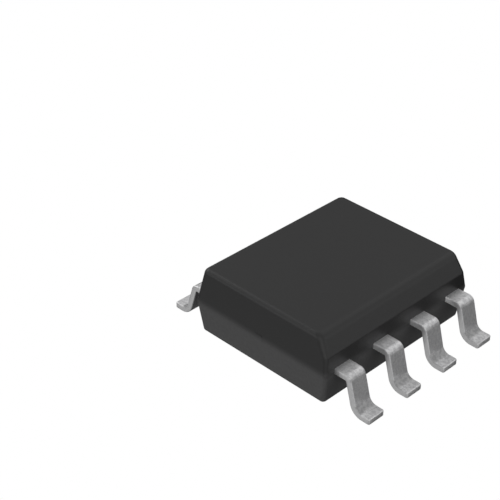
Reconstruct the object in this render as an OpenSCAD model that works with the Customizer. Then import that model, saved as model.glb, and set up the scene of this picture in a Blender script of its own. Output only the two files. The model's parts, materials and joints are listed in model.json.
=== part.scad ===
// Eight-lead surface-mount voltage reference: a stamped and formed lead frame carries the silicon die,
// gold wires join the die to the leads, and a moulded body closes over them.
// X runs across the two rows of leads, Y along them, and Z up from the board that the feet stand on.
// Leads 1 to 4 are on the +X side from -Y to +Y, and leads 5 to 8 on the -X side from +Y to -Y.

/* [Body] */
// Length along the rows of leads, at the parting line
body_length = 4.9; // [4.7:0.05:5.2]
// Width across the rows of leads, at the parting line
body_width = 3.95; // [3.7:0.05:4.2]
// Height from the underside to the top face
body_height = 1.7; // [1.4:0.01:1.75]
// Height of the parting line above the underside
parting_height = 0.83; // [0.65:0.01:0.9]
// Height of the narrow upright band that the mould leaves along the parting line
parting_band = 0.03; // [0.01:0.01:0.06]
// Gap between the underside and the board
standoff = 0.04; // [0.03:0.01:0.25]
// Lean of the side walls, which lets the body leave its mould
draft_angle = 7; // [3:0.5:12]
// Radius of the upright corners at the parting line
corner_radius = 0.08; // [0.06:0.01:0.2]
// Radius of the rims of the top face and the underside
rim_radius = 0.08; // [0.03:0.01:0.12]
// Width of the bevel along the top edge that marks the side of lead 1
bevel_width = 0.2; // [0.15:0.01:0.5]
// Depth of that bevel below the top face
bevel_depth = 0.5; // [0.3:0.01:0.7]

/* [Leads] */
// Distance between the middles of neighbouring leads
lead_pitch = 1.27; // [1.2:0.01:1.35]
// Distance between the toes of the two rows
lead_span = 6; // [5.8:0.05:6.3]
// Width of a lead outside the body
lead_width = 0.5; // [0.35:0.01:0.6]
// Thickness of the frame's metal
lead_thickness = 0.15; // [0.12:0.01:0.25]
// Inside radius of the bend where a lead turns down
knee_radius = 0.03; // [0.02:0.01:0.15]
// Inside radius of the bend where a lead turns out to its foot
heel_radius = 0.2; // [0.06:0.01:0.25]
// Lean of a lead's leg away from upright
leg_lean = 16; // [2:1:20]
// Length of the straight part of a foot
foot_length = 0.22; // [0.2:0.01:0.5]

/* [Fingers inside the body] */
// Length of the plain neck between the side of the body and a finger's head
neck_length = 0.25; // [0.15:0.01:0.35]
// Width of the heads of the two middle fingers of a row
head_width = 0.8; // [0.6:0.05:0.95]
// Gap between the fingers and the die pad
finger_gap = 0.18; // [0.12:0.01:0.3]
// Length that the corner fingers reach in past the side of the die pad
corner_reach = 0.55; // [0.3:0.05:0.75]
// Cover of moulding compound over the end of a corner finger
end_cover = 0.3; // [0.15:0.05:0.4]
// Diameter of the hole in each finger that the compound fills and locks
lock_hole = 0.2; // [0.1:0.02:0.26]

/* [Die pad] */
// Width of the die pad across the rows
pad_width = 2.2; // [1.8:0.05:2.5]
// Length of the die pad along the rows
pad_length = 2.9; // [2.4:0.05:3.2]
// Depth of the pad below the leads
pad_downset = 0.15; // [0:0.01:0.25]
// Width of the bar that ties the pad to each end of the body
tie_width = 0.2; // [0.12:0.02:0.4]
// Length of the sloping stretch of a tie bar
tie_slope = 0.2; // [0.1:0.05:0.4]
// Length of the level stretch of a tie bar next to the pad
tie_root = 0.15; // [0.05:0.05:0.3]

/* [Die] */
// Width of the die across the rows
die_width = 1.5; // [1:0.05:1.9]
// Length of the die along the rows
die_length = 2; // [1.4:0.05:2.6]
// Thickness of the die
die_thickness = 0.25; // [0.15:0.01:0.35]
// Thickness of the adhesive under the die
attach_thickness = 0.025; // [0.015:0.005:0.05]
// Width of the adhesive that squeezes out round the die
attach_margin = 0.08; // [0.03:0.01:0.12]

/* [Bond wires] */
// Diameter of a wire
wire_diameter = 0.03; // [0.018:0.001:0.05]
// Diameter of the ball that bonds a wire to the die
ball_diameter = 0.08; // [0.06:0.005:0.12]
// Height of that ball
ball_height = 0.02; // [0.012:0.002:0.03]
// Distance from the edge of the die to the middle of a ball
bond_inset = 0.12; // [0.08:0.01:0.25]
// Height of a wire's loop above the die
loop_height = 0.16; // [0.1:0.01:0.25]
// Distance from the tip of a finger to the place where its wire comes down
stitch_inset = 0.1; // [0.06:0.01:0.15]
// Length of the flattened stitch at a wire's end
stitch_length = 0.06; // [0.03:0.01:0.1]
// Thickness of the flattened stitch
stitch_thickness = 0.012; // [0.008:0.002:0.02]

/* [Hidden] */
$fn = 32;
LEADS = [1, 2, 3, 4, 5, 6, 7, 8];
BONDED_LEADS = [1, 2, 3, 4, 5, 6, 8];
LEADS_PER_ROW = 4;
BEND_STEPS = 10;
LOOP_STEPS = 12;
WIRE_SIDES = 8;
// Share of a wire's run over which it comes down to its finger
landing_share = 0.6;
body_top = standoff + body_height;
parting_z = standoff + parting_height;
// The two halves of the mould close on the frame, whose middle lies in the parting plane
frame_top = parting_z + lead_thickness / 2;
frame_bottom = frame_top - lead_thickness;
pad_top = frame_top - pad_downset;
attach_top = pad_top + attach_thickness;
die_top = attach_top + die_thickness;
finger_tip = pad_width / 2 + finger_gap;
finger_root = body_width / 2 - neck_length;
corner_tip = pad_width / 2 - corner_reach;
corner_inner_edge = pad_length / 2 + finger_gap;
corner_outer_edge = body_length / 2 - end_cover;
row_middle = (LEADS_PER_ROW - 1) / 2;
wire_radius = wire_diameter / 2;

// Where a lead stands: its turn about Z and its place along the +X row before that turn
function row_turn(n) = n > LEADS_PER_ROW ? 180 : 0;
function row_place(n) = ((n - 1) % LEADS_PER_ROW - row_middle) * lead_pitch;
function is_corner(place) = abs(place) > lead_pitch;

// Distance from the parting outline in to the middle of a rim ball at a height z
function rim_inset(z) = (abs(z - parting_z) - parting_band / 2) * tan(draft_angle) + rim_radius / cos(draft_angle);

// Middle of a ball of the rim radius that touches two walls meeting at a point, from the walls' outward angles
function ball_in_corner(corner, angle_a, angle_b) =
    let (middle = (angle_a + angle_b) / 2)
    let (reach = rim_radius / cos((angle_a - angle_b) / 2))
    corner - reach * [cos(middle), sin(middle)];

module rim_balls(x, z) {
    for (side = [-1, 1])
        translate([x, side * (body_length / 2 - rim_inset(z)), z])
            sphere(rim_radius);
}

module parting_outline() {
    for (x = [-1, 1], y = [-1, 1])
        translate([x * (body_width / 2 - corner_radius), y * (body_length / 2 - corner_radius), parting_z])
            cylinder(r = corner_radius, h = parting_band, center = true);
}

// The moulding's outside: drafted both ways from the parting line, with the bevel on the +X side
module body_form() {
    rim_top = body_top - rim_radius;
    rim_bottom = standoff + rim_radius;
    wall_rise = parting_z + parting_band / 2;
    bevel_foot_z = body_top - bevel_depth;
    bevel_foot = [body_width / 2 - (bevel_foot_z - wall_rise) * tan(draft_angle), bevel_foot_z];
    bevel_head = [body_width / 2 - (body_top - wall_rise) * tan(draft_angle) - bevel_width, body_top];
    bevel_angle = atan2(bevel_foot[0] - bevel_head[0], bevel_depth);
    head_ball = ball_in_corner(bevel_head, bevel_angle, 90);
    foot_ball = ball_in_corner(bevel_foot, draft_angle, bevel_angle);
    hull() {
        parting_outline();
        rim_balls(rim_inset(rim_top) - body_width / 2, rim_top);
        rim_balls(head_ball[0], head_ball[1]);
        rim_balls(foot_ball[0], foot_ball[1]);
        for (side = [-1, 1])
            rim_balls(side * (body_width / 2 - rim_inset(rim_bottom)), rim_bottom);
    }
}

module body() {
    color("#39393b")
        difference() {
            body_form();
            die_pad();
            die_attach();
            die();
            for (n = LEADS)
                lead(n);
            for (n = BONDED_LEADS)
                bond_wire(n);
        }
}

// Side view of a formed lead in X and Z, from its finger's tip to its toe
// The two bends turn by the same angle, so the foot is level with the finger
function lead_profile(tip) =
    let (turn = 90 - leg_lean)
    let (knee_outside = knee_radius + lead_thickness)
    let (heel_outside = heel_radius + lead_thickness)
    let (bends = knee_outside + heel_radius)
    let (leg = (frame_bottom - bends * (1 - cos(turn))) / sin(turn))
    let (heel_x = lead_span / 2 - foot_length)
    let (knee_x = heel_x - bends * sin(turn) - leg * cos(turn))
    let (knee = [knee_x, frame_top - knee_outside])
    let (heel = [heel_x, heel_outside])
    let (steps = [for (i = [0 : BEND_STEPS]) turn * i / BEND_STEPS])
    concat(
        [[tip, frame_top]],
        [for (a = steps) knee + knee_outside * [sin(a), cos(a)]],
        [for (a = steps) heel - heel_radius * [sin(turn - a), cos(turn - a)]],
        [[lead_span / 2, lead_thickness], [lead_span / 2, 0]],
        [for (a = steps) heel - heel_outside * [sin(a), cos(a)]],
        [for (a = steps) knee + knee_radius * [sin(turn - a), cos(turn - a)]],
        [[tip, frame_bottom]]
    );

// Stamped outline of a lead in X and Y, at a place along its row
module lead_outline(place) {
    flare = (head_width - lead_width) / 2;
    difference() {
        union() {
            translate([finger_tip, place - lead_width / 2])
                square([lead_span / 2 - finger_tip, lead_width]);
            if (is_corner(place))
                translate([corner_tip, corner_inner_edge])
                    square([finger_root - corner_tip, corner_outer_edge - corner_inner_edge]);
            else
                polygon([
                    [finger_tip, place - head_width / 2],
                    [finger_root - flare, place - head_width / 2],
                    [finger_root, place - lead_width / 2],
                    [finger_root, place + lead_width / 2],
                    [finger_root - flare, place + head_width / 2],
                    [finger_tip, place + head_width / 2]
                ]);
        }
        translate([finger_root, place])
            circle(d = lock_hole);
    }
}

// A lead is stamped flat to its outline, then bent to its side view
module lead(n) {
    place = abs(row_place(n));
    tip = is_corner(place) ? corner_tip : finger_tip;
    color("#b4b6b9")
        rotate([0, 0, row_turn(n)])
            mirror([0, row_place(n) < 0 ? 1 : 0, 0])
                intersection() {
                    linear_extrude(frame_top)
                        lead_outline(place);
                    translate([0, body_length / 2, 0])
                        rotate([90, 0, 0])
                            linear_extrude(body_length)
                                polygon(lead_profile(tip));
                }
}

// Half of the side view of a tie bar in Y and Z, from under the die to the end of the body
module tie_profile() {
    root = pad_length / 2 + tie_root;
    rise = root + tie_slope;
    end = body_length / 2;
    polygon([
        [0, pad_top],
        [root, pad_top],
        [rise, frame_top],
        [end, frame_top],
        [end, frame_bottom],
        [rise, frame_bottom],
        [root, pad_top - lead_thickness],
        [0, pad_top - lead_thickness]
    ]);
}

module die_pad() {
    color("#b9774f") {
        translate([-pad_width / 2, -pad_length / 2, pad_top - lead_thickness])
            cube([pad_width, pad_length, lead_thickness]);
        for (turn = [0, 180])
            rotate([0, 0, turn])
                translate([-tie_width / 2, 0, 0])
                    rotate([90, 0, 90])
                        linear_extrude(tie_width)
                            tie_profile();
    }
}

module die_attach() {
    size = [die_width + 2 * attach_margin, die_length + 2 * attach_margin, attach_thickness];
    color("#8d9094")
        translate([-size[0] / 2, -size[1] / 2, pad_top])
            cube(size);
}

module die() {
    color("#55596b")
        translate([-die_width / 2, -die_length / 2, attach_top])
            cube([die_width, die_length, die_thickness]);
}

// Where a wire starts on the die and where it comes down on its finger, on the +X side
function bond_place(place) =
    [die_width / 2 - bond_inset, (die_length / 2 - bond_inset) * place / (row_middle * lead_pitch)];
function stitch_place(place) =
    is_corner(place)
        ? [corner_tip + stitch_inset, sign(place) * (corner_inner_edge + corner_outer_edge) / 2]
        : [finger_tip + stitch_inset, place];

// A loop's middle line over the run from the ball to the stitch: it leaves the die upright and lands level
function loop_point(t, run, start_z, handle_z, land_z) =
    (1 - t) ^ 3 * [0, start_z]
    + 3 * t * (1 - t) ^ 2 * [0, handle_z]
    + 3 * t ^ 2 * (1 - t) * [run * (1 - landing_share), land_z]
    + t ^ 3 * [run, land_z];

// Height of the loop's upper handle that takes the line through a crown height a third of the way along
function loop_handle(start_z, crown_z, land_z) = (27 * crown_z - 8 * start_z - 7 * land_z) / 12;

// One ring of a wire: across the wire's own plane it is as wide as side, and in that plane as thick as depth
function wire_ring(middle, slope, depth, side) =
    let (corner = 1 / cos(180 / WIRE_SIDES))
    [for (k = [0 : WIRE_SIDES - 1])
        let (a = (k + 0.5) * 360 / WIRE_SIDES)
        let (lift = corner * depth * sin(a))
        [middle[0] - lift * sin(slope), corner * side * cos(a), middle[1] + lift * cos(slope)]];

// All rings of a wire from its ball to its stitch, with the run along X
function wire_rings(run) =
    let (ball = ball_diameter / 2)
    let (ball_top = die_top + ball_height)
    let (start_z = ball_top + wire_radius)
    let (land_z = frame_top + wire_radius)
    let (handle_z = loop_handle(start_z, die_top + loop_height, land_z))
    let (points = [for (i = [0 : LOOP_STEPS]) loop_point(i / LOOP_STEPS, run, start_z, handle_z, land_z)])
    concat(
        [wire_ring([0, die_top], 90, ball, ball), wire_ring([0, ball_top], 90, ball, ball)],
        [for (i = [0 : LOOP_STEPS])
            let (step = points[min(i + 1, LOOP_STEPS)] - points[max(i - 1, 0)])
            let (slope = i == 0 ? 90 : i == LOOP_STEPS ? 0 : atan2(step[1], step[0]))
            wire_ring(points[i], slope, wire_radius, wire_radius)],
        [wire_ring([run + stitch_length, frame_top + stitch_thickness / 2], 0, stitch_thickness / 2, wire_diameter)]
    );

module bond_wire(n) {
    from = bond_place(row_place(n));
    to = stitch_place(row_place(n));
    rings = wire_rings(norm(to - from));
    last = len(rings) - 1;
    points = [for (ring = rings) each ring];
    walls = [for (i = [0 : last - 1], k = [0 : WIRE_SIDES - 1])
        let (next = (k + 1) % WIRE_SIDES)
        [i * WIRE_SIDES + k, (i + 1) * WIRE_SIDES + k, (i + 1) * WIRE_SIDES + next, i * WIRE_SIDES + next]];
    caps = [
        [for (k = [0 : WIRE_SIDES - 1]) k],
        [for (k = [0 : WIRE_SIDES - 1]) last * WIRE_SIDES + WIRE_SIDES - 1 - k]
    ];
    color("#d9a83f")
        rotate([0, 0, row_turn(n)])
            translate([from[0], from[1], 0])
                rotate([0, 0, atan2(to[1] - from[1], to[0] - from[0])])
                    polyhedron(points, concat(walls, caps));
}

body();
die_pad();
die_attach();
die();
for (n = LEADS)
    lead(n);
for (n = BONDED_LEADS)
    bond_wire(n);
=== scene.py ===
"""Looks of an eight-lead voltage reference chip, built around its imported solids."""

import json
import math
from collections import namedtuple

import bmesh
import bpy
import numpy as np
from bpy.props import FloatProperty, FloatVectorProperty, PointerProperty
from mathutils import Matrix, Quaternion, Vector

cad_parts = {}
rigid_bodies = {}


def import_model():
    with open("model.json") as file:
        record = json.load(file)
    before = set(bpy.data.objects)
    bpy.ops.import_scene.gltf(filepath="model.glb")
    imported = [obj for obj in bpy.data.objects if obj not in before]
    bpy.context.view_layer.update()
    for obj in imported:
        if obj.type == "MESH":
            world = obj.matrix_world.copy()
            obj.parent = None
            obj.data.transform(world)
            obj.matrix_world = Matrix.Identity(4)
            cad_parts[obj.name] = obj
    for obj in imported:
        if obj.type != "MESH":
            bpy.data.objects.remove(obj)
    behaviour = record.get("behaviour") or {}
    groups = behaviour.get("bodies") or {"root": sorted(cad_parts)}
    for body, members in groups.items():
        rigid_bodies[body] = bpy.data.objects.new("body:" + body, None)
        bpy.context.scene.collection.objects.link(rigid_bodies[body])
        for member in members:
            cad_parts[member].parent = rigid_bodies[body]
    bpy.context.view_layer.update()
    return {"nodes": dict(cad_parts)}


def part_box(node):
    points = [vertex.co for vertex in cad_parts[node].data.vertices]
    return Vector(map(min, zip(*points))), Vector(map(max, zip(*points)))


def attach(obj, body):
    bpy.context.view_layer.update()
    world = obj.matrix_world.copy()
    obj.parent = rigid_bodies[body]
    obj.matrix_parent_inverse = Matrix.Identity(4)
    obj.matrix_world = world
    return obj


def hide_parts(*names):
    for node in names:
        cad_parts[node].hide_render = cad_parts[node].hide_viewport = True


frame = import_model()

bl_info = {
    "name": "Voltage Reference Chip",
    "version": (1, 0, 0),
    "blender": (4, 5, 0),
    "location": "View3D > Sidebar > Chip",
    "description": "Builds the moulding, the formed leads and the finishes of a small surface-mount chip",
    "category": "Add Mesh",
}

BODY_LOW, BODY_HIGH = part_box("body")
MIDDLE_LOW, MIDDLE_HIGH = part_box("lead_2")
CORNER_LOW, CORNER_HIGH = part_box("lead_4")
LEADS = tuple(range(1, 9))
LEADS_PER_ROW = 4
LEAD_THICKNESS = 0.00015
PARTING = MIDDLE_HIGH.z - LEAD_THICKNESS / 2
INNER_NODES = ("die_pad", "die_attach", "die")
WIRE_NODES = tuple(name for name in sorted(frame["nodes"]) if name.startswith("bond_wire"))

# Meshes are worked out in millimetres, because mesh tools merge points that lie very close together
MILLIMETRE = 0.001
MERGE_GAP = 1e-5
# Share of a face's normal along Z from which the face counts as level
LEVEL = 0.999

# The compound's index of refraction, which the cut ends of the tie bars share so that they hardly show
COMPOUND_IOR = 1.62

# Fineness of the finishes, in grains to the metre
COMPOUND_FINE = 38000
COMPOUND_COARSE = 14000
COMPOUND_CLOUDS = 900
TIN_MOTTLE = 13000
TIN_GRAIN = 52000
COPPER_PATCHES = 2500
ADHESIVE_FLAKES = 60000
ADHESIVE_SWIRLS = 6000
CIRCUIT_BLOCKS = 5200
CIRCUIT_TRACKS = 9000
GOLD_GRAIN = 80000
# The same along X, Y and Z for finishes that run one way, those of tin to the millimetre of a lead's blank
TIN_STREAKS = (2.5, 34, 34)
COPPER_STREAKS = (30000, 1500, 30000)
SAW_STREAKS = (4000, 4000, 60000)

# Height of each finish's relief
COMPOUND_RELIEF = 0.000006
TIN_RELIEF = 0.000003
COPPER_RELIEF = 0.000003
ADHESIVE_RELIEF = 0.000005
SILICON_RELIEF = 0.000002
GOLD_RELIEF = 0.000001

# Where a finish ends: tin inside the moulding, silver behind a toe, dull copper at a cut end of a tie bar,
# and the circuit below the die's top
TIN_DEPTH = 0.00003
SILVER_START = 0.0014
SILVER_BLUR = 0.00002
CUT_DEPTH = 0.00002
CIRCUIT_DEPTH = 0.000002
# The lower compound's paler colour, which paints the floor's bounce light, meets the upper one's over this
# many parting bands each way
PARTING_BLUR = 4

# Share of the plating's brightness taken away low on the knee and along the heel, as painted shade
KNEE_PAINTED_SHADE = 0.36
HEEL_PAINTED_SHADE = 0.44

# Weight of large faces in the moulding's normals, which keeps them flat beside their rounded edges
FLAT_WEIGHT = 80

# Fineness of the curves
BEND_STEPS = 14
CORNER_STEPS = 8
RIM_STEPS = 6
HOLE_STEPS = 32
EDGE_STEPS = 3

# The photograph's frame, which the camera's aim is given in
PHOTO_SIZE = 500
SENSOR_WIDTH = 36.0
STAGE_RADIUS = 0.12
STAGE_STEPS = 48

# Soft lights of the studio: each is a broad glow round one direction, narrower as its focus grows
# Those over the table shine from above the horizon only, and those under it are the table's own glow
SoftLight = namedtuple("SoftLight", "azimuth elevation focus strength")
SOFT_LIGHTS = {
    "overhead": SoftLight(0, 90, 10, 0.23),
    "near_high": SoftLight(45, 45, 10, 0.72),
    "back_high": SoftLight(180, 45, 10, 0.88),
    "left": SoftLight(270, 32, 24, 2.2),
    "left_low": SoftLight(330, 12, 24, 1.41),
    "front_low": SoftLight(30, 12, 24, 0.63),
    "near_low": SoftLight(60, 12, 24, 0.62),
    "right_low": SoftLight(120, 12, 24, 1.22),
    "front_table": SoftLight(340, -18, 16, 0.38),
    "under_left": SoftLight(315, -45, 10, 0.34),
    "near_table": SoftLight(45, -18, 16, 0.6),
    "right_table": SoftLight(90, -18, 16, 0.5),
    "back_table": SoftLight(230, -25, 14, 0.5),
}
HORIZON_BLUR = 0.05


def length(name, description, default):
    """A size in metres that a user would change."""
    return FloatProperty(
        name=name, description=description, default=default, unit="LENGTH", precision=6, min=0
    )


def angle(name, description, degrees):
    """An angle that a user would change."""
    return FloatProperty(name=name, description=description, default=math.radians(degrees), subtype="ANGLE")


def colour(name, description, default):
    """A colour that a user would change."""
    return FloatVectorProperty(
        name=name, description=description, default=default, size=3, min=0, max=1, subtype="COLOR"
    )


class BodySizes(bpy.types.PropertyGroup):
    """Sizes of the moulding."""

    half_length: length("Half length", "From the middle to an end, at the parting line", BODY_HIGH.y)
    half_width: length("Half width", "From the middle to a lead side, at the parting line", BODY_HIGH.x)
    underside: length("Underside", "Height of the underside above the board", BODY_LOW.z)
    top: length("Top", "Height of the top face above the board", BODY_HIGH.z)
    parting: length("Parting line", "Height of the parting line above the board", PARTING)
    band: length("Parting band", "Height of the upright band along the parting line", 0.00003)
    draft: angle("Draft", "Lean of the side walls", 7)
    corner_radius: length("Corner radius", "Radius of the upright corners at the parting line", 0.00008)
    rim_radius: length("Rim radius", "Radius of the rim of the top face", 0.00013)
    underside_rim: length("Underside rim radius", "Radius of the rim of the underside", 0.00007)
    rim_corner: length("Rim corner radius", "Radius of the upright corners where the top rim begins", 0.00016)
    underside_corner: length("Underside corner", "Radius of the upright corners at the underside", 0.0001)
    bevel_width: length("Bevel width", "Width of the bevel along the top edge of the lead 1 side", 0.0002)
    bevel_depth: length("Bevel depth", "Depth of that bevel below the top face", 0.00047)
    bevel_foot_radius: length("Bevel foot radius", "Radius between the bevel and the wall below it", 0.00012)
    bevel_head_radius: length("Bevel head radius", "Radius between the bevel and the top face", 0.00025)


class LeadSizes(bpy.types.PropertyGroup):
    """Sizes of the stamped and formed leads."""

    half_span: length("Half span", "From the middle to a toe", MIDDLE_HIGH.x)
    frame_top: length("Frame top", "Height of the frame's top face above the board", MIDDLE_HIGH.z)
    pitch: length("Pitch", "Distance between the middles of neighbouring leads", 0.00127)
    width: length("Width", "Width of a lead outside the body", 0.0005)
    thickness: length("Thickness", "Thickness of the frame's metal", LEAD_THICKNESS)
    knee_radius: length("Knee radius", "Inside radius of the bend where a lead turns down", 0.00003)
    heel_radius: length("Heel radius", "Inside radius of the bend where a lead turns out to its foot", 0.0002)
    lean: angle("Leg lean", "Lean of the leg away from upright", 16)
    foot: length("Foot length", "Length of the straight part of a foot", 0.00022)
    edge_radius: length("Edge radius", "Rounding of the stamped edges", 0.000025)
    toe_corner: length("Toe corner radius", "Rounding of a toe's corners seen from above", 0.00005)
    neck: length("Neck", "Length of the plain neck inside the body", 0.00025)
    lock_hole: length("Lock hole", "Diameter of the hole that the compound fills", 0.0002)


class FinishColours(bpy.types.PropertyGroup):
    """Colours of the materials."""

    compound: colour("Compound", "Compound above the parting line", (0.012, 0.012, 0.0122))
    # Paler than the compound above: the paleness is painted bounce light from the floor
    compound_below_painted_bounce: colour("Compound below", "Compound below the parting line", (0.088, 0.088, 0.0885))
    tin: colour("Tin", "Matte tin plating", (0.98, 0.98, 0.985))
    tin_dull: colour("Dull tin", "Duller patches of the plating", (0.74, 0.74, 0.75))
    tin_side: colour("Tin on the sides", "Plating on the sheared sides of the leads", (0.98, 0.98, 0.985))
    copper: colour("Copper", "Bare copper alloy of the frame", (0.60, 0.30, 0.19))
    silver: colour("Silver", "Silver plating where wires are bonded", (0.80, 0.79, 0.76))
    adhesive: colour("Adhesive", "Silver-filled die adhesive", (0.38, 0.38, 0.39))
    silicon: colour("Silicon", "Sawn silicon of the die", (0.09, 0.095, 0.12))
    circuit: colour("Circuit", "Circuit layers on top of the die", (0.16, 0.20, 0.26))
    gold: colour("Gold", "Bond wires", (0.90, 0.62, 0.22))


class StageSettings(bpy.types.PropertyGroup):
    """Place of the camera and brightness of the floor."""

    azimuth: angle("Azimuth", "Turn of the camera round the chip", 39.749)
    elevation: angle("Elevation", "Height of the camera above the horizon", 34.779)
    roll: angle("Roll", "Turn of the camera about its own view", 1.115)
    distance: length("Distance", "From the camera to the target", 0.03109)
    target_height: length("Target height", "Height of the target over the chip's footprint", 0.00085)
    focal_length: FloatProperty(name="Focal length", description="Lens in millimetres", default=97.119)
    target_x: FloatProperty(name="Target x", description="Pixel column of the target", default=335.216)
    target_y: FloatProperty(name="Target y", description="Pixel row of the target", default=288.398)
    floor_glow: FloatProperty(name="Floor glow", description="Brightness of the pale floor", default=1.0)


class Term:
    """One output of a node. Arithmetic on it adds Math nodes to the same tree."""

    def __init__(self, web, socket):
        self.web = web
        self.socket = socket

    def __add__(self, other):
        return self.web.math("ADD", self, other)

    def __sub__(self, other):
        return self.web.math("SUBTRACT", self, other)

    def __rsub__(self, other):
        return self.web.math("SUBTRACT", other, self)

    def __mul__(self, other):
        return self.web.math("MULTIPLY", self, other)

    def __truediv__(self, other):
        return self.web.math("DIVIDE", self, other)

    def __pow__(self, other):
        return self.web.math("POWER", self, other)

    def __gt__(self, other):
        return self.web.math("GREATER_THAN", self, other)

    def __abs__(self):
        return self.web.math("ABSOLUTE", self)

    __radd__ = __add__
    __rmul__ = __mul__

    def sin(self):
        return self.web.math("SINE", self)

    def cos(self):
        return self.web.math("COSINE", self)

    def at_least(self, other):
        return self.web.math("MAXIMUM", self, other)

    def at_most(self, other):
        return self.web.math("MINIMUM", self, other)

    def between(self, low, high):
        return self.at_least(low).at_most(high)


class Web:
    """A node tree that is written as expressions."""

    def __init__(self, tree):
        self.tree = tree

    def fill(self, socket, value):
        """Links a term to a socket, or sets the socket to a plain value."""
        if isinstance(value, Term):
            self.tree.links.new(value.socket, socket)
        else:
            socket.default_value = value

    def node(self, kind, settings=None, inputs=None):
        """Adds a node, sets what it is, then fills its sockets."""
        made = self.tree.nodes.new(kind)
        for name, value in (settings or {}).items():
            setattr(made, name, value)
        for key, value in (inputs or {}).items():
            self.fill(made.inputs[key], value)
        return made

    def out(self, output, kind, settings=None, inputs=None):
        """One output of a new node, as a term."""
        return Term(self, self.node(kind, settings, inputs).outputs[output])

    def math(self, operation, *values):
        return self.out("Value", "ShaderNodeMath", {"operation": operation}, dict(enumerate(values)))

    def split(self, vector):
        """The three parts of a vector."""
        node = self.node("ShaderNodeSeparateXYZ", None, {"Vector": vector})
        return [Term(self, node.outputs[axis]) for axis in "XYZ"]

    def join(self, x, y, z):
        return self.out("Vector", "ShaderNodeCombineXYZ", None, {"X": x, "Y": y, "Z": z})

    def place(self):
        """Where a point of the surface lies on the chip."""
        return self.out("Object", "ShaderNodeTexCoord")

    def attribute(self, name, output="Fac"):
        """A value that the mesh carries under a name."""
        return self.out(output, "ShaderNodeAttribute", {"attribute_name": name})

    def noise(self, place, scale, detail=2.0, roughness=0.5):
        """Cloudy noise about one half, from nothing to one."""
        inputs = {"Vector": place, "Scale": scale, "Detail": detail, "Roughness": roughness}
        return self.out("Fac", "ShaderNodeTexNoise", None, inputs)

    def stretch(self, place, scales):
        """A place with each axis scaled by itself."""
        return self.out("Vector", "ShaderNodeVectorMath", {"operation": "MULTIPLY"}, {0: place, 1: scales})

    def step(self, value, low, high):
        """Rises smoothly from nothing at low to one at high."""
        inputs = {"Value": value, "From Min": low, "From Max": high}
        return self.out("Result", "ShaderNodeMapRange", {"interpolation_type": "SMOOTHSTEP"}, inputs)

    def blend(self, share, first, second):
        """A colour between two."""
        inputs = {"Factor": share, "A": first, "B": second}
        node = self.node("ShaderNodeMix", {"data_type": "RGBA"})
        for socket in node.inputs:
            if socket.enabled and socket.name in inputs:
                self.fill(socket, inputs[socket.name])
        return Term(self, next(socket for socket in node.outputs if socket.enabled))

    def tint(self, base, factor):
        """A colour made lighter or darker by a factor."""
        inputs = {"Vector": base, "Scale": factor}
        return self.out("Vector", "ShaderNodeVectorMath", {"operation": "SCALE"}, inputs)

    def bump(self, height, strength, distance):
        inputs = {"Height": height, "Strength": strength, "Distance": distance}
        return self.out("Normal", "ShaderNodeBump", None, inputs)

    def surface(self, sockets):
        """Ends the tree in a surface with these sockets."""
        shader = self.out("BSDF", "ShaderNodeBsdfPrincipled", None, sockets)
        self.node("ShaderNodeOutputMaterial", None, {"Surface": shader})


def new_finish(name):
    """An empty material and its node tree."""
    material = bpy.data.materials.new(name)
    material.use_nodes = True
    material.node_tree.nodes.clear()
    return material, Web(material.node_tree)


def opaque(rgb):
    """A colour with full alpha."""
    return (*rgb, 1.0)


def below_parting(web, place, body):
    """One below the parting line and nothing above it, with a soft change between."""
    blur = PARTING_BLUR * body.band
    return 1 - web.step(web.split(place)[2], body.parting - blur, body.parting + blur)


def compound_finish(colours, body):
    """Filled epoxy: matte, with a fine moulded grain that is coarser below the parting line, where a paler
    colour paints the floor's bounce light.
    """
    material, web = new_finish("mould_compound")
    place = web.place()
    below = below_parting(web, place, body)
    fine = web.noise(place, COMPOUND_FINE, 3, 0.6)
    coarse = web.noise(place, COMPOUND_COARSE, 3, 0.65)
    clouds = web.noise(place, COMPOUND_CLOUDS, 2)
    tone = 0.86 + 0.16 * fine + 0.12 * clouds + below * (0.5 * coarse - 0.25)
    # Painted bounce light: the compound's colour is paler below the parting line
    base = web.blend(below, opaque(colours.compound), opaque(colours.compound_below_painted_bounce))
    rough = 0.37 + 0.1 * fine + 0.14 * below
    relief = fine * (0.6 - 0.2 * below) + coarse * (0.35 + 0.65 * below)
    web.surface(
        {
            "Base Color": web.tint(base, tone),
            "Roughness": rough,
            "IOR": COMPOUND_IOR,
            "Normal": web.bump(relief, 0.55, COMPOUND_RELIEF),
        }
    )
    return material


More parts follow.
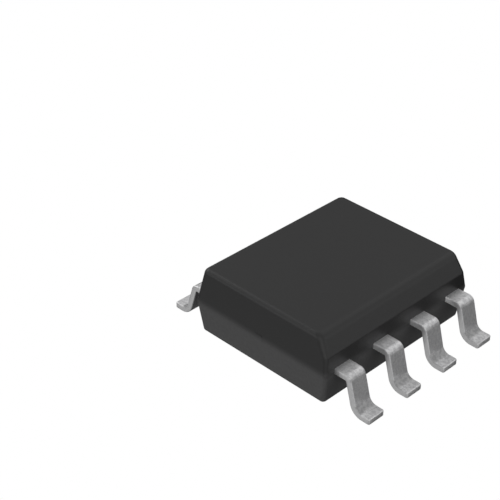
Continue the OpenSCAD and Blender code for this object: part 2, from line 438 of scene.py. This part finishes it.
def tin_finish(colours, body):
    """Matte tin over copper alloy: streaked and mottled, with painted shade low on the knees, in the heels
    and over the legs, and bare frame inside.
    """
    material, web = new_finish("tin_plate")
    blank = web.attribute("blank", "Vector")
    painted_bend_shade, leg, foot, side = (web.attribute(name) for name in ("painted_bend_shade", "leg", "foot", "side"))
    place = web.place()
    streaks = web.noise(web.stretch(blank, TIN_STREAKS), 1, 3, 0.6)
    mottle = web.noise(place, TIN_MOTTLE, 3, 0.65)
    grain = web.noise(place, TIN_GRAIN, 2, 0.6)
    dull = web.step(mottle, 0.36, 0.64)
    flat = web.blend(dull, opaque(colours.tin), opaque(colours.tin_dull))
    plated = web.blend(side, flat, opaque(colours.tin_side))
    run = abs(web.split(place)[0])
    inside = 1 - web.step(run, body.half_width - 2 * TIN_DEPTH, body.half_width - TIN_DEPTH)
    silver_edge = CORNER_HIGH.x - SILVER_START
    bonded = 1 - web.step(run, silver_edge - SILVER_BLUR, silver_edge + SILVER_BLUR)
    bare = web.blend(bonded, opaque(colours.copper), opaque(colours.silver))
    # Painted shade: the legs a little darker, and the bands low on the knee and in the heel much darker, on
    # all but the sheared sides
    tone = (0.85 + 0.12 * grain + 0.2 * streaks) * (1 - (0.08 * leg + painted_bend_shade) * (1 - side))
    rough = 0.36 + 0.08 * foot + 0.08 * dull + 0.06 * grain
    web.surface(
        {
            "Base Color": web.tint(web.blend(inside, plated, bare), tone),
            "Metallic": 1.0,
            "Roughness": rough,
            "Normal": web.bump(0.5 * grain + 0.4 * streaks + 0.5 * mottle, 0.5, TIN_RELIEF),
        }
    )
    return material


def copper_finish(colours, body):
    """Bare rolled copper alloy, with dull oxidised ends where the tie bars are cut at the moulding."""
    material, web = new_finish("frame_copper")
    place = web.place()
    rolled = web.noise(web.stretch(place, COPPER_STREAKS), 1, 3)
    patches = web.noise(place, COPPER_PATCHES, 3)
    reach = abs(web.split(place)[1])
    end = web.step(reach, body.half_length - 2 * CUT_DEPTH, body.half_length - CUT_DEPTH)
    below = below_parting(web, place, body)
    # Below the parting line the cut ends take the lower compound's colour, with its painted bounce light
    dulled = web.blend(below, opaque(colours.compound), opaque(colours.compound_below_painted_bounce))
    base = web.blend(end, opaque(colours.copper), dulled)
    bare = 1 - end
    web.surface(
        {
            "Base Color": web.tint(base, 0.85 + 0.2 * rolled + 0.1 * patches),
            "Metallic": bare,
            "Roughness": bare * (0.32 + 0.15 * patches) + end * (0.42 + 0.14 * below),
            "IOR": COMPOUND_IOR,
            "Normal": web.bump(rolled * bare, 0.3, COPPER_RELIEF),
        }
    )
    return material


def adhesive_finish(colours):
    """Silver-filled adhesive: dull, with flakes."""
    material, web = new_finish("die_adhesive")
    place = web.place()
    flakes = web.out("Distance", "ShaderNodeTexVoronoi", None, {"Vector": place, "Scale": ADHESIVE_FLAKES})
    swirls = web.noise(place, ADHESIVE_SWIRLS, 3)
    web.surface(
        {
            "Base Color": web.tint(tuple(colours.adhesive), 0.75 + 0.3 * flakes + 0.25 * swirls),
            "Metallic": 0.5,
            "Roughness": 0.45 + 0.2 * swirls,
            "Normal": web.bump(flakes + swirls, 0.5, ADHESIVE_RELIEF),
        }
    )
    return material


def silicon_finish(colours, die_top):
    """Sawn silicon with blocks of circuit on its top face."""
    material, web = new_finish("silicon")
    place = web.place()
    height = web.split(place)[2]
    face = web.step(height, die_top - 2 * CIRCUIT_DEPTH, die_top - CIRCUIT_DEPTH)
    block_inputs = {"Vector": place, "Scale": CIRCUIT_BLOCKS}
    blocks = web.out("Color", "ShaderNodeTexVoronoi", {"distance": "CHEBYCHEV"}, block_inputs)
    block_tone = web.split(blocks)[0]
    track_inputs = {"Vector": place, "Scale": CIRCUIT_TRACKS}
    tracks = web.out("Fac", "ShaderNodeTexWave", {"bands_direction": "X"}, track_inputs)
    saw = web.noise(web.stretch(place, SAW_STREAKS), 1, 2)
    sawn = web.tint(tuple(colours.silicon), 0.8 + 0.4 * saw)
    circuit = web.tint(tuple(colours.circuit), 0.6 + 0.7 * block_tone + 0.25 * tracks)
    web.surface(
        {
            "Base Color": web.blend(face, sawn, circuit),
            "Metallic": 0.35 + 0.3 * face,
            "Roughness": 0.38 - 0.2 * face,
            "Normal": web.bump(saw * (1 - face) + 0.4 * tracks * face, 0.3, SILICON_RELIEF),
        }
    )
    return material


def gold_finish(colours):
    """Bright drawn gold wire."""
    material, web = new_finish("gold_wire")
    place = web.place()
    drawn = web.noise(place, GOLD_GRAIN, 2)
    web.surface(
        {
            "Base Color": web.tint(tuple(colours.gold), 0.9 + 0.2 * drawn),
            "Metallic": 1.0,
            "Roughness": 0.16 + 0.12 * drawn,
            "Normal": web.bump(drawn, 0.2, GOLD_RELIEF),
        }
    )
    return material


def floor_finish(glow):
    """Plain pale floor that shows no shade."""
    material, web = new_finish("pale_floor")
    shader = web.out("Emission", "ShaderNodeEmission", None, {"Strength": glow})
    web.node("ShaderNodeOutputMaterial", None, {"Surface": shader})
    return material


def direction(azimuth, elevation):
    """Unit vector from the chip towards a place round it. Azimuth 0 is the -Y side, and 90 the +X side."""
    flat = math.cos(elevation)
    return Vector((math.sin(azimuth) * flat, -math.cos(azimuth) * flat, math.sin(elevation)))


def new_object(name, data):
    made = bpy.data.objects.new(name, data)
    bpy.context.scene.collection.objects.link(made)
    return made


def mesh_of(bm, name):
    """A smooth mesh from a finished bmesh, which is freed."""
    mesh = bpy.data.meshes.new(name)
    bm.to_mesh(mesh)
    bm.free()
    mesh.shade_smooth()
    return mesh


def settled(source, name):
    """A new object at the origin that holds the source's evaluated mesh. The source is removed."""
    graph = bpy.context.evaluated_depsgraph_get()
    finished = source.evaluated_get(graph)
    mesh = bpy.data.meshes.new_from_object(finished, preserve_all_data_layers=True, depsgraph=graph)
    if not mesh.polygons:
        raise RuntimeError(f"{name} came out empty")
    bpy.data.objects.remove(source)
    mesh.name = name
    return new_object(name, mesh)


def level_normals(target):
    """Keeps flat faces flat beside their rounded edges."""
    target.modifiers.new("level_normals", "WEIGHTED_NORMAL").weight = FLAT_WEIGHT


def rounded(points, radii, steps):
    """A 2D path through points, with each corner between the first and the last rounded to its radius."""
    path = [points[0]]
    for before, corner, after, radius in zip(points, points[1:], points[2:], radii):
        if not radius:
            path.append(corner)
            continue
        back = (before - corner).normalized()
        ahead = (after - corner).normalized()
        half = math.acos(back.dot(ahead)) / 2
        middle = corner + (back + ahead).normalized() * radius / math.sin(half)
        first = (corner + back * radius / math.tan(half) - middle).normalized()
        last = (corner + ahead * radius / math.tan(half) - middle).normalized()
        path += [middle + first.slerp(last, i / steps) * radius for i in range(steps + 1)]
    path.append(points[-1])
    return path


def row_turn(number):
    """Turn about Z that takes a lead from the +X row to its own."""
    return math.pi if number > LEADS_PER_ROW else 0.0


def row_place(number, pitch):
    """Place of a lead along the +X row, before the row's turn."""
    return ((number - 1) % LEADS_PER_ROW - (LEADS_PER_ROW - 1) / 2) * pitch


class Form:
    """The bent side view of a lead, in millimetres along its middle line."""

    def __init__(self, sizes):
        self.thickness = sizes.thickness / MILLIMETRE
        self.turn = math.pi / 2 - sizes.lean
        self.knee_radius = (sizes.knee_radius + sizes.thickness / 2) / MILLIMETRE
        self.heel_radius = (sizes.heel_radius + sizes.thickness / 2) / MILLIMETRE
        self.middle = sizes.frame_top / MILLIMETRE - self.thickness / 2
        bends = self.knee_radius + self.heel_radius
        drop = self.middle - self.thickness / 2
        self.leg = (drop - bends * (1 - math.cos(self.turn))) / math.sin(self.turn)
        reach = bends * math.sin(self.turn) + self.leg * math.cos(self.turn)
        foot = sizes.foot / MILLIMETRE
        self.knee = sizes.half_span / MILLIMETRE - foot - reach
        self.heel = self.knee + self.knee_radius * self.turn + self.leg
        self.toe = self.heel + self.heel_radius * self.turn + foot

    def stations(self):
        """Places along the flat blank where it is cut so that it can bend."""
        turns = [self.turn * i / BEND_STEPS for i in range(BEND_STEPS + 1)]
        knee = [self.knee + self.knee_radius * turn for turn in turns]
        return knee + [self.heel + self.heel_radius * turn for turn in turns]


def blank_outline(number, sizes, form):
    """Stamped outline of a lead's flat blank in X and Y, anticlockwise from its toe, in millimetres."""
    place = abs(row_place(number, sizes.pitch)) / MILLIMETRE
    half = sizes.width / 2 / MILLIMETRE
    root = (BODY_HIGH.x - sizes.neck) / MILLIMETRE
    corner = place > sizes.pitch / MILLIMETRE
    low, high = (CORNER_LOW, CORNER_HIGH) if corner else (MIDDLE_LOW, MIDDLE_HIGH)
    tip = low.x / MILLIMETRE
    head_low, head_high = sorted((abs(low.y) / MILLIMETRE, abs(high.y) / MILLIMETRE))
    if corner:
        head_high = place + half
        shoulder_low = shoulder_high = root
    else:
        shoulder_low = root - (place - half - head_low)
        shoulder_high = root - (head_high - place - half)
    toe_corner = sizes.toe_corner / MILLIMETRE
    points = [
        (root, place - half, 0),
        (form.toe, place - half, toe_corner),
        (form.toe, place + half, toe_corner),
        (root, place + half, 0),
        (shoulder_high, head_high, 0),
        (tip, head_high, 0),
        (tip, head_low, 0),
        (shoulder_low, head_low, 0),
        (root, place - half, 0),
    ]
    if corner:
        # A corner lead's outer side runs straight on into its head, so it has no outer shoulder
        del points[4]
    path = rounded([Vector(p[:2]) for p in points], [p[2] for p in points[1:-1]], EDGE_STEPS)[:-1]
    hole = [
        Vector((root, place)) + Vector((math.cos(a), math.sin(a))) * sizes.lock_hole / 2 / MILLIMETRE
        for a in (2 * math.pi * i / HOLE_STEPS for i in range(HOLE_STEPS))
    ]
    if row_place(number, sizes.pitch) < 0:
        path = [Vector((p.x, -p.y)) for p in reversed(path)]
        hole = [Vector((p.x, -p.y)) for p in reversed(hole)]
    return path, hole


def stamped_blank(number, sizes, form):
    """A flat plate of one lead's outline with rounded edges, cut where it will bend."""
    plate = bpy.data.curves.new("blank", "CURVE")
    plate.dimensions = "2D"
    plate.fill_mode = "BOTH"
    edge_radius = sizes.edge_radius / MILLIMETRE
    plate.bevel_depth = edge_radius
    plate.bevel_resolution = EDGE_STEPS
    plate.offset = -edge_radius
    plate.extrude = form.thickness / 2 - edge_radius
    for outline in blank_outline(number, sizes, form):
        spline = plate.splines.new("POLY")
        spline.points.add(len(outline) - 1)
        spline.use_cyclic_u = True
        for point, corner in zip(spline.points, outline):
            point.co = (corner.x, corner.y, 0, 1)
    flat = settled(new_object("blank_curve", plate), "blank")
    bm = bmesh.new()
    bm.from_mesh(flat.data)
    bmesh.ops.remove_doubles(bm, verts=bm.verts, dist=MERGE_GAP)
    for station in form.stations():
        everything = bm.verts[:] + bm.edges[:] + bm.faces[:]
        bmesh.ops.bisect_plane(
            bm, geom=everything, dist=MERGE_GAP, plane_co=(station, 0, 0), plane_no=(1, 0, 0)
        )
    bmesh.ops.recalc_face_normals(bm, faces=bm.faces)
    for edge in bm.edges:
        edge.smooth = len({abs(face.normal.z) > LEVEL for face in edge.link_faces}) == 1
    bm.to_mesh(flat.data)
    bm.free()
    flat.data.shade_smooth()
    return flat


def keep_mark(web, geometry, name, value, kind="FLOAT"):
    """Stores a value on the points of a geometry, for its finish to read by name."""
    settings = {"data_type": kind, "domain": "POINT"}
    inputs = {"Geometry": geometry, "Name": name, "Value": value}
    return web.out("Geometry", "GeometryNodeStoreNamedAttribute", settings, inputs)


def forming_tree():
    """Geometry nodes that bend a blank down at the knee and out at the heel, then turn it into its row."""
    tree = bpy.data.node_groups.new("form_lead", "GeometryNodeTree")
    sockets = tree.interface
    sockets.new_socket("Blank", in_out="INPUT", socket_type="NodeSocketGeometry")
    bends = ("Knee", "Knee radius", "Heel radius", "Turn", "Leg", "Middle height")
    for name in (*bends, "Row turn", "Scale"):
        sockets.new_socket(name, in_out="INPUT", socket_type="NodeSocketFloat")
    sockets.new_socket("Finish", in_out="INPUT", socket_type="NodeSocketMaterial")
    sockets.new_socket("Lead", in_out="OUTPUT", socket_type="NodeSocketGeometry")
    web = Web(tree)
    given = web.node("NodeGroupInput").outputs
    start, knee_radius, heel_radius, turn, leg_length, middle = (Term(web, given[name]) for name in bends)
    blank = web.out("Position", "GeometryNodeInputPosition")
    run, side, lift = web.split(blank)
    knee = ((run - start) / knee_radius).between(0, turn)
    past_knee = run - start - knee_radius * turn
    leg = past_knee.between(0, leg_length)
    past_leg = past_knee - leg_length
    heel = (past_leg / heel_radius).between(0, turn)
    foot = (past_leg - heel_radius * turn).at_least(0)
    lean = knee - heel
    left_to_turn = turn - heel
    knee_out, knee_drop = knee_radius * knee.sin(), knee_radius * (1 - knee.cos())
    heel_out = heel_radius * (turn.sin() - left_to_turn.sin())
    heel_drop = heel_radius * (left_to_turn.cos() - turn.cos())
    out = run.at_most(start) + knee_out + leg * turn.cos() + heel_out + foot
    drop = knee_drop + leg * turn.sin() + heel_drop
    formed = web.join(out + lift * lean.sin(), side, middle - drop + lift * lean.cos())
    knee_share, heel_share = knee / turn, heel / turn
    # Painted shade bands on the blank's top face: low on the knee's outside and in the heel's inside bend
    knee_shade_band = web.step(knee_share, 0.52, 0.72) * (1 - web.step(knee_share, 0.84, 1))
    heel_shade_band = web.step(heel_share * (1 - heel_share), 0, 0.2)
    painted_bend_shade = (KNEE_PAINTED_SHADE * knee_shade_band + HEEL_PAINTED_SHADE * heel_shade_band) * (lift > 0)
    kept = keep_mark(web, Term(web, given["Blank"]), "blank", blank, "FLOAT_VECTOR")
    facing = web.split(web.out("Normal", "GeometryNodeInputNormal"))[2]
    marks = {"painted_bend_shade": painted_bend_shade, "leg": lean / turn, "foot": heel_share, "side": 1 - abs(facing)}
    for name, value in marks.items():
        kept = keep_mark(web, kept, name, value)
    bent = web.out("Geometry", "GeometryNodeSetPosition", None, {"Geometry": kept, "Position": formed})
    scale = Term(web, given["Scale"])
    placing = {
        "Geometry": bent,
        "Rotation": web.join(0, 0, Term(web, given["Row turn"])),
        "Scale": web.join(scale, scale, scale),
    }
    turned = web.out("Geometry", "GeometryNodeTransform", None, placing)
    whole = web.out("Geometry", "GeometryNodeRealizeInstances", None, {"Geometry": turned})
    inputs = {"Geometry": whole, "Material": Term(web, given["Finish"])}
    plated = web.out("Geometry", "GeometryNodeSetMaterial", None, inputs)
    web.node("NodeGroupOutput", None, {"Lead": plated})
    return tree


def run_tree(target, tree, values):
    """Adds a geometry nodes modifier with its inputs set by their identifiers."""
    modifier = target.modifiers.new(tree.name, "NODES")
    modifier.node_group = tree
    for item in tree.interface.items_tree:
        if item.name in values:
            modifier[item.identifier] = values[item.name]


def ring(left, right, end, radius, height):
    """Points of a rectangle with round corners, anticlockwise from the +X, -Y corner."""
    corners = ((right, -end, -90), (right, end, 0), (left, end, 90), (left, -end, 180))
    points = []
    for x, y, start in corners:
        middle = Vector((x - math.copysign(radius, x), y - math.copysign(radius, y), height))
        for i in range(CORNER_STEPS + 1):
            a = math.radians(start + 90 * i / CORNER_STEPS)
            points.append(middle + Vector((math.cos(a), math.sin(a), 0)) * radius)
    return points


def moulding_mesh(sizes):
    """The moulding's outside, lofted through rings that follow its four drafted walls, in millimetres."""
    half_length, half_width = sizes.half_length / MILLIMETRE, sizes.half_width / MILLIMETRE
    underside, top = sizes.underside / MILLIMETRE, sizes.top / MILLIMETRE
    band_low = (sizes.parting - sizes.band / 2) / MILLIMETRE
    band_high = (sizes.parting + sizes.band / 2) / MILLIMETRE
    rim = sizes.rim_radius / MILLIMETRE
    underside_rim = sizes.underside_rim / MILLIMETRE
    slope = math.tan(sizes.draft)
    low_inset = (band_low - underside) * slope
    high_inset = (top - band_high) * slope

    def wall(half, upper, radii):
        """Heights of a wall's points, from the underside to the top face, and how far out each is."""
        lower = [(0, underside), (half - low_inset, underside), (half, band_low), (half, band_high)]
        points = [Vector(point) for point in (*lower, *upper, (0, top))]
        path = rounded(points, (underside_rim, 0, 0, *radii), RIM_STEPS)[1:-1]
        return np.array([(point.y, point.x) for point in path]).T

    foot_height = top - sizes.bevel_depth / MILLIMETRE
    bevel_foot = (half_width - (foot_height - band_high) * slope, foot_height)
    bevel_head = (half_width - high_inset - sizes.bevel_width / MILLIMETRE, top)
    bevel_radii = (sizes.bevel_foot_radius / MILLIMETRE, sizes.bevel_head_radius / MILLIMETRE)
    walls = [
        wall(half_width, [(half_width - high_inset, top)], [rim]),
        wall(half_width, [bevel_foot, bevel_head], bevel_radii),
        wall(half_length, [(half_length - high_inset, top)], [rim]),
    ]
    # The corners' radii at four levels, and where the end wall would be there without its rims
    levels = (underside, band_low, band_high, top)
    corner = sizes.corner_radius / MILLIMETRE
    corner_radii = (sizes.underside_corner / MILLIMETRE, corner, corner, sizes.rim_corner / MILLIMETRE)
    straight_end = (half_length - low_inset, half_length, half_length, half_length - high_inset)
    heights = np.unique(np.round(np.concatenate([side[0] for side in walls]), 6))
    bm = bmesh.new()
    rings = []
    for height in heights:
        left, right, end = (float(np.interp(height, *side)) for side in walls)
        rim_inset = np.interp(height, levels, straight_end) - end
        radius = float(np.interp(height, levels, corner_radii) - rim_inset)
        rings.append([bm.verts.new(point) for point in ring(-left, right, end, radius, height)])
    count = len(rings[0])
    for below, above in zip(rings, rings[1:]):
        for i in range(count):
            j = (i + 1) % count
            bm.faces.new((below[i], below[j], above[j], above[i]))
    bm.faces.new(reversed(rings[0]))
    bm.faces.new(rings[-1])
    return mesh_of(bm, "moulding")


def solid_copy(source, collection):
    """A merged copy of a piece in millimetres, for cutting its room out of the moulding."""
    bm = bmesh.new()
    bm.from_mesh(source.data)
    bmesh.ops.scale(bm, vec=(1 / MILLIMETRE,) * 3, verts=bm.verts)
    bmesh.ops.remove_doubles(bm, verts=bm.verts, dist=MERGE_GAP)
    copy = bpy.data.objects.new("room_" + source.name, mesh_of(bm, "room"))
    collection.objects.link(copy)
    return copy


def place_piece(piece, slot, *nodes):
    """Hangs a finished piece on the root body and hides the solids that it stands for."""
    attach(piece, "root")
    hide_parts(*nodes)


def finish_node(name, material):
    """Gives a carried-over solid its finish."""
    node = frame["nodes"][name]
    node.data.materials.clear()
    node.data.materials.append(material)


class CHIP_OT_stage(bpy.types.Operator):
    """Make the camera, the pale floor and the soft studio light"""

    bl_idname = "chip.stage"
    bl_label = "Stage"

    def execute(self, context):
        settings = context.scene.chip_stage
        self.make_camera(context.scene, settings)
        self.make_floor(settings)
        self.make_light(context.scene)
        context.scene.view_settings.view_transform = "Standard"
        return {"FINISHED"}

    @staticmethod
    def make_camera(scene, settings):
        """A camera that sees the chip as the photograph does."""
        lens = bpy.data.cameras.new("camera")
        lens.sensor_width = SENSOR_WIDTH
        lens.lens = settings.focal_length
        lens.clip_start = settings.distance / 20
        lens.clip_end = STAGE_RADIUS * 4
        camera = new_object("camera", lens)
        back = direction(settings.azimuth, settings.elevation)
        right = Vector((math.cos(settings.azimuth), math.sin(settings.azimuth), 0))
        up = back.cross(right)
        pixels = settings.focal_length / SENSOR_WIDTH * PHOTO_SIZE
        across = (settings.target_x - PHOTO_SIZE / 2) / pixels
        down = (settings.target_y - PHOTO_SIZE / 2) / pixels
        ahead = (down * up - back - across * right).normalized()
        camera.location = Vector((0, 0, settings.target_height)) + back * settings.distance
        camera.rotation_mode = "QUATERNION"
        camera.rotation_quaternion = ahead.to_track_quat("-Z", "Y") @ Quaternion((0, 0, 1), settings.roll)
        scene.camera = camera

    @staticmethod
    def make_floor(settings):
        """A floor and a dome that only the camera sees, so that the light on the chip is the studio's own."""
        bm = bmesh.new()
        bmesh.ops.create_uvsphere(bm, u_segments=STAGE_STEPS, v_segments=STAGE_STEPS, radius=STAGE_RADIUS)
        for vertex in bm.verts:
            vertex.co.z = max(vertex.co.z, 0)
        bmesh.ops.remove_doubles(bm, verts=bm.verts, dist=MERGE_GAP)
        floor = new_object("pale_floor", mesh_of(bm, "pale_floor"))
        floor.data.materials.append(floor_finish(settings.floor_glow))
        floor.visible_diffuse = False
        floor.visible_glossy = False
        floor.visible_transmission = False
        floor.visible_shadow = False

    @staticmethod
    def make_light(scene):
        """A world that glows as the soft lights do together."""
        world = bpy.data.worlds.new("studio")
        world.use_nodes = True
        world.node_tree.nodes.clear()
        web = Web(world.node_tree)
        towards = web.out("Generated", "ShaderNodeTexCoord")
        above = web.step(web.split(towards)[2], -HORIZON_BLUR, HORIZON_BLUR)
        sky, table = 0, 0
        for light in SOFT_LIGHTS.values():
            axis = direction(math.radians(light.azimuth), math.radians(light.elevation))
            inputs = {0: towards, 1: axis}
            facing = web.out("Value", "ShaderNodeVectorMath", {"operation": "DOT_PRODUCT"}, inputs)
            lobe = light.strength * (0.5 + 0.5 * facing) ** light.focus
            if light.elevation > 0:
                sky = lobe + sky
            else:
                table = lobe + table
        glow = sky * above + table * (1 - above)
        shader = web.out("Background", "ShaderNodeBackground", None, {"Strength": glow})
        web.node("ShaderNodeOutputWorld", None, {"Surface": shader})
        scene.world = world


class CHIP_OT_leads(bpy.types.Operator):
    """Stamp and form the eight gull-wing leads"""

    bl_idname = "chip.leads"
    bl_label = "Leads"

    def execute(self, context):
        scene = context.scene
        sizes = scene.chip_leads
        form = Form(sizes)
        tree = forming_tree()
        finish = tin_finish(scene.chip_colours, scene.chip_body)
        for number in LEADS:
            blank = stamped_blank(number, sizes, form)
            values = {
                "Knee": form.knee,
                "Knee radius": form.knee_radius,
                "Heel radius": form.heel_radius,
                "Turn": form.turn,
                "Leg": form.leg,
                "Middle height": form.middle,
                "Row turn": row_turn(number),
                "Scale": MILLIMETRE,
                "Finish": finish,
            }
            run_tree(blank, tree, values)
            lead = settled(blank, f"formed_lead_{number}")
            place_piece(lead, "tin_plate", f"lead_{number}")
        return {"FINISHED"}


class CHIP_OT_body(bpy.types.Operator):
    """Mould the body round the leads and what they carry"""

    bl_idname = "chip.body"
    bl_label = "Body"

    def execute(self, context):
        scene = context.scene
        rooms = bpy.data.collections.new("rooms")
        scene.collection.children.link(rooms)
        held = [bpy.data.objects[f"formed_lead_{number}"] for number in LEADS]
        held += [frame["nodes"][name] for name in INNER_NODES + WIRE_NODES]
        for piece in held:
            solid_copy(piece, rooms)
        moulding = new_object("moulding", moulding_mesh(scene.chip_body))
        cut = moulding.modifiers.new("rooms", "BOOLEAN")
        cut.operation = "DIFFERENCE"
        cut.operand_type = "COLLECTION"
        cut.collection = rooms
        cut.solver = "EXACT"
        level_normals(moulding)
        body = settled(moulding, "moulded_body")
        body.data.transform(Matrix.Scale(MILLIMETRE, 4))
        for copy in list(rooms.objects):
            bpy.data.objects.remove(copy)
        bpy.data.collections.remove(rooms)
        body.data.materials.clear()
        body.data.materials.append(compound_finish(scene.chip_colours, scene.chip_body))
        place_piece(body, "mould_compound", "body")
        return {"FINISHED"}


class CHIP_OT_inside(bpy.types.Operator):
    """Finish the die, its adhesive, its pad and the bond wires"""

    bl_idname = "chip.inside"
    bl_label = "Inside"

    def execute(self, context):
        colours = context.scene.chip_colours
        finish_node("die_pad", copper_finish(colours, context.scene.chip_body))
        finish_node("die_attach", adhesive_finish(colours))
        finish_node("die", silicon_finish(colours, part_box("die")[1].z))
        gold = gold_finish(colours)
        for name in WIRE_NODES:
            finish_node(name, gold)
        return {"FINISHED"}


GROUPS = {
    "chip_body": BodySizes,
    "chip_leads": LeadSizes,
    "chip_colours": FinishColours,
    "chip_stage": StageSettings,
}
OPERATORS = (CHIP_OT_stage, CHIP_OT_leads, CHIP_OT_body, CHIP_OT_inside)


class CHIP_PT_panel(bpy.types.Panel):
    """Lists the chip's sizes, colours and making steps"""

    bl_idname = "CHIP_PT_panel"
    bl_label = "Voltage Reference Chip"
    bl_space_type = "VIEW_3D"
    bl_region_type = "UI"
    bl_category = "Chip"

    def draw(self, context):
        for operator in OPERATORS:
            self.layout.operator(operator.bl_idname)
        for name, group in GROUPS.items():
            box = self.layout.box()
            for prop in group.__annotations__:
                box.prop(getattr(context.scene, name), prop)


def register():
    for cls in (*GROUPS.values(), *OPERATORS, CHIP_PT_panel):
        bpy.utils.register_class(cls)
    for name, group in GROUPS.items():
        setattr(bpy.types.Scene, name, PointerProperty(type=group))


def unregister():
    for name in GROUPS:
        delattr(bpy.types.Scene, name)
    for cls in (CHIP_PT_panel, *reversed(OPERATORS), *GROUPS.values()):
        bpy.utils.unregister_class(cls)


def main():
    register()
    bpy.ops.chip.stage()
    bpy.ops.chip.leads()
    bpy.ops.chip.body()
    bpy.ops.chip.inside()


if __name__ == "__main__":
    main()
